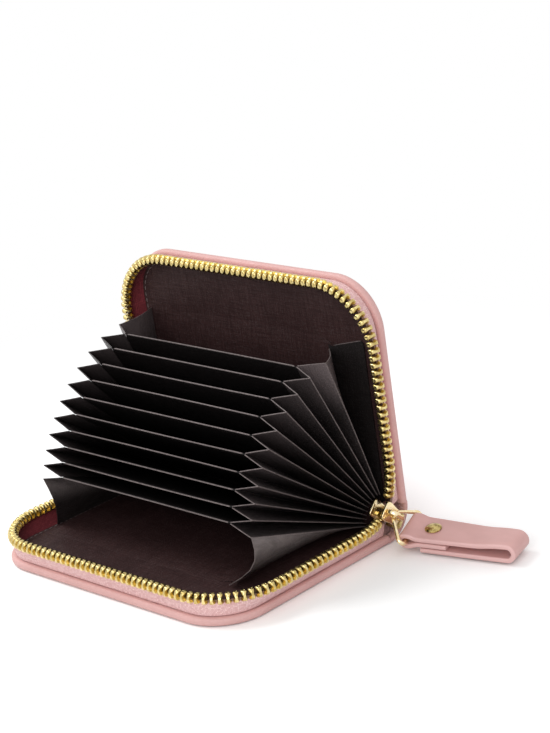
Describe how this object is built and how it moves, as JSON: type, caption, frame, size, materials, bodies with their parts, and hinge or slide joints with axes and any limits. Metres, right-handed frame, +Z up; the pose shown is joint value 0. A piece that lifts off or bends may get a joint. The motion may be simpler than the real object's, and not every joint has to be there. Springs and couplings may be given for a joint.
{
  "type": "accordion card wallet",
  "caption": "Small zip-round leather wallet, lying open, with a fan of pleated card pockets inside and a leather strap pull on the zip slider.",
  "frame": {"origin": "centre of the lower cover's underside", "axes": "+Z up, +X along the spine towards the zip slider, -Y towards the open front"},
  "size_m": [0.1489, 0.0897, 0.0827],
  "materials": {
    "cover_leather": "pebbled grain, satin",
    "strap_leather": "smooth, satin",
    "board": "pressed card stiffener",
    "lining": "coated cloth with a fine emboss",
    "accordion": "coated cloth with a fine emboss, pale cut edges",
    "zip_tape": "fine weave",
    "zip_teeth": "polished",
    "pull_metal": "polished pale gold plate",
    "rivet": "antique"
  },
  "bodies": {
    "lower_half": {"lower_cover": "cover_leather", "lower_board": "board", "lower_lining": "lining", "lower_end_panel": "lining", "lower_zip_tape": "zip_tape", "lower_zip_teeth": "zip_teeth", "lower_top_stop": "zip_teeth", "spine": "cover_leather", "spine_lining": "lining", "accordion_back": "accordion", "left_gusset_01": "accordion", "right_gusset_01": "accordion"},
    "upper_half": {"upper_cover": "cover_leather", "upper_board": "board", "upper_lining": "lining", "upper_end_panel": "lining", "upper_zip_tape": "zip_tape", "upper_zip_teeth": "zip_teeth", "upper_top_stop": "zip_teeth"},
    "leaf_01": {"divider_01": "accordion", "left_gusset_02": "accordion", "right_gusset_02": "accordion"},
    "leaf_02": {"divider_02": "accordion", "left_gusset_03": "accordion", "right_gusset_03": "accordion"},
    "leaf_03": {"divider_03": "accordion", "left_gusset_04": "accordion", "right_gusset_04": "accordion"},
    "leaf_04": {"divider_04": "accordion", "left_gusset_05": "accordion", "right_gusset_05": "accordion"},
    "leaf_05": {"divider_05": "accordion", "left_gusset_06": "accordion", "right_gusset_06": "accordion"},
    "leaf_06": {"divider_06": "accordion", "left_gusset_07": "accordion", "right_gusset_07": "accordion"},
    "leaf_07": {"divider_07": "accordion", "left_gusset_08": "accordion", "right_gusset_08": "accordion"},
    "leaf_08": {"divider_08": "accordion", "left_gusset_09": "accordion", "right_gusset_09": "accordion"},
    "leaf_09": {"divider_09": "accordion", "left_gusset_10": "accordion", "right_gusset_10": "accordion"},
    "leaf_10": {"divider_10": "accordion", "left_gusset_11": "accordion", "right_gusset_11": "accordion"},
    "slider": {"slider_body": "pull_metal", "slider_bridge": "pull_metal", "zip_closed_end": "zip_teeth", "zip_bottom_stop": "zip_teeth"},
    "ring": {"pull_ring": "pull_metal"},
    "strap": {"pull_strap": "strap_leather", "rivet_cap": "rivet", "rivet_back": "rivet"}
  },
  "joints": [
    {"name": "cover_hinge", "type": "hinge", "parent": "lower_half", "child": "upper_half", "pos_m": [0, 0.036, 0.01], "axis": [1, 0, 0], "range_deg": [-13, 87], "deforming": ["spine", "spine_lining", "accordion_back", "left_gusset_01", "right_gusset_01", "left_gusset_02", "right_gusset_02", "left_gusset_03", "right_gusset_03", "left_gusset_04", "right_gusset_04", "left_gusset_05", "right_gusset_05", "left_gusset_06", "right_gusset_06", "left_gusset_07", "right_gusset_07", "left_gusset_08", "right_gusset_08", "left_gusset_09", "right_gusset_09", "left_gusset_10", "right_gusset_10", "left_gusset_11", "right_gusset_11"]},
    {"name": "leaf_01_turn", "type": "hinge", "parent": "lower_half", "child": "leaf_01", "pos_m": [0, 0.036, 0.01], "axis": [1, 0, 0], "range_deg": [-3.04, 20.05]},
    {"name": "leaf_02_turn", "type": "hinge", "parent": "lower_half", "child": "leaf_02", "pos_m": [0, 0.036, 0.01], "axis": [1, 0, 0], "range_deg": [-3.62, 23.93]},
    {"name": "leaf_03_turn", "type": "hinge", "parent": "lower_half", "child": "leaf_03", "pos_m": [0, 0.036, 0.01], "axis": [1, 0, 0], "range_deg": [-4.25, 28.13]},
    {"name": "leaf_04_turn", "type": "hinge", "parent": "lower_half", "child": "leaf_04", "pos_m": [0, 0.036, 0.01], "axis": [1, 0, 0], "range_deg": [-4.92, 32.62]},
    {"name": "leaf_05_turn", "type": "hinge", "parent": "lower_half", "child": "leaf_05", "pos_m": [0, 0.036, 0.01], "axis": [1, 0, 0], "range_deg": [-5.63, 37.43]},
    {"name": "leaf_06_turn", "type": "hinge", "parent": "lower_half", "child": "leaf_06", "pos_m": [0, 0.036, 0.01], "axis": [1, 0, 0], "range_deg": [-6.4, 42.54]},
    {"name": "leaf_07_turn", "type": "hinge", "parent": "lower_half", "child": "leaf_07", "pos_m": [0, 0.036, 0.01], "axis": [1, 0, 0], "range_deg": [-7.21, 47.96]},
    {"name": "leaf_08_turn", "type": "hinge", "parent": "lower_half", "child": "leaf_08", "pos_m": [0, 0.036, 0.01], "axis": [1, 0, 0], "range_deg": [-8.06, 53.68]},
    {"name": "leaf_09_turn", "type": "hinge", "parent": "lower_half", "child": "leaf_09", "pos_m": [0, 0.036, 0.01], "axis": [1, 0, 0], "range_deg": [-8.96, 59.71]},
    {"name": "leaf_10_turn", "type": "hinge", "parent": "lower_half", "child": "leaf_10", "pos_m": [0, 0.036, 0.01], "axis": [1, 0, 0], "range_deg": [-9.91, 66.05]},
    {"name": "slider_turn", "type": "hinge", "parent": "lower_half", "child": "slider", "pos_m": [0, 0.036, 0.01], "axis": [1, 0, 0], "range_deg": [-6.5, 43.5]},
    {"name": "ring_swing", "type": "hinge", "parent": "slider", "child": "ring", "pos_m": [0.0547, 0.036, 0.01], "axis": [-0.2532, 0.9448, 0.2079], "range_deg": [-45, 15]},
    {"name": "strap_swing", "type": "hinge", "parent": "ring", "child": "strap", "pos_m": [0.05898, 0.0382, 0.0052], "axis": [-0.2532, 0.9448, 0.2079], "range_deg": [-45, 60]}
  ],
  "couplings": [
    {"joint": "leaf_01_turn", "follows": "cover_hinge", "ratio": 0.22989},
    {"joint": "leaf_02_turn", "follows": "cover_hinge", "ratio": 0.27453},
    {"joint": "leaf_03_turn", "follows": "cover_hinge", "ratio": 0.32271},
    {"joint": "leaf_04_turn", "follows": "cover_hinge", "ratio": 0.37441},
    {"joint": "leaf_05_turn", "follows": "cover_hinge", "ratio": 0.42963},
    {"joint": "leaf_06_turn", "follows": "cover_hinge", "ratio": 0.48838},
    {"joint": "leaf_07_turn", "follows": "cover_hinge", "ratio": 0.55065},
    {"joint": "leaf_08_turn", "follows": "cover_hinge", "ratio": 0.61645},
    {"joint": "leaf_09_turn", "follows": "cover_hinge", "ratio": 0.68577},
    {"joint": "leaf_10_turn", "follows": "cover_hinge", "ratio": 0.75862},
    {"joint": "slider_turn", "follows": "cover_hinge", "ratio": 0.5}
  ]
}
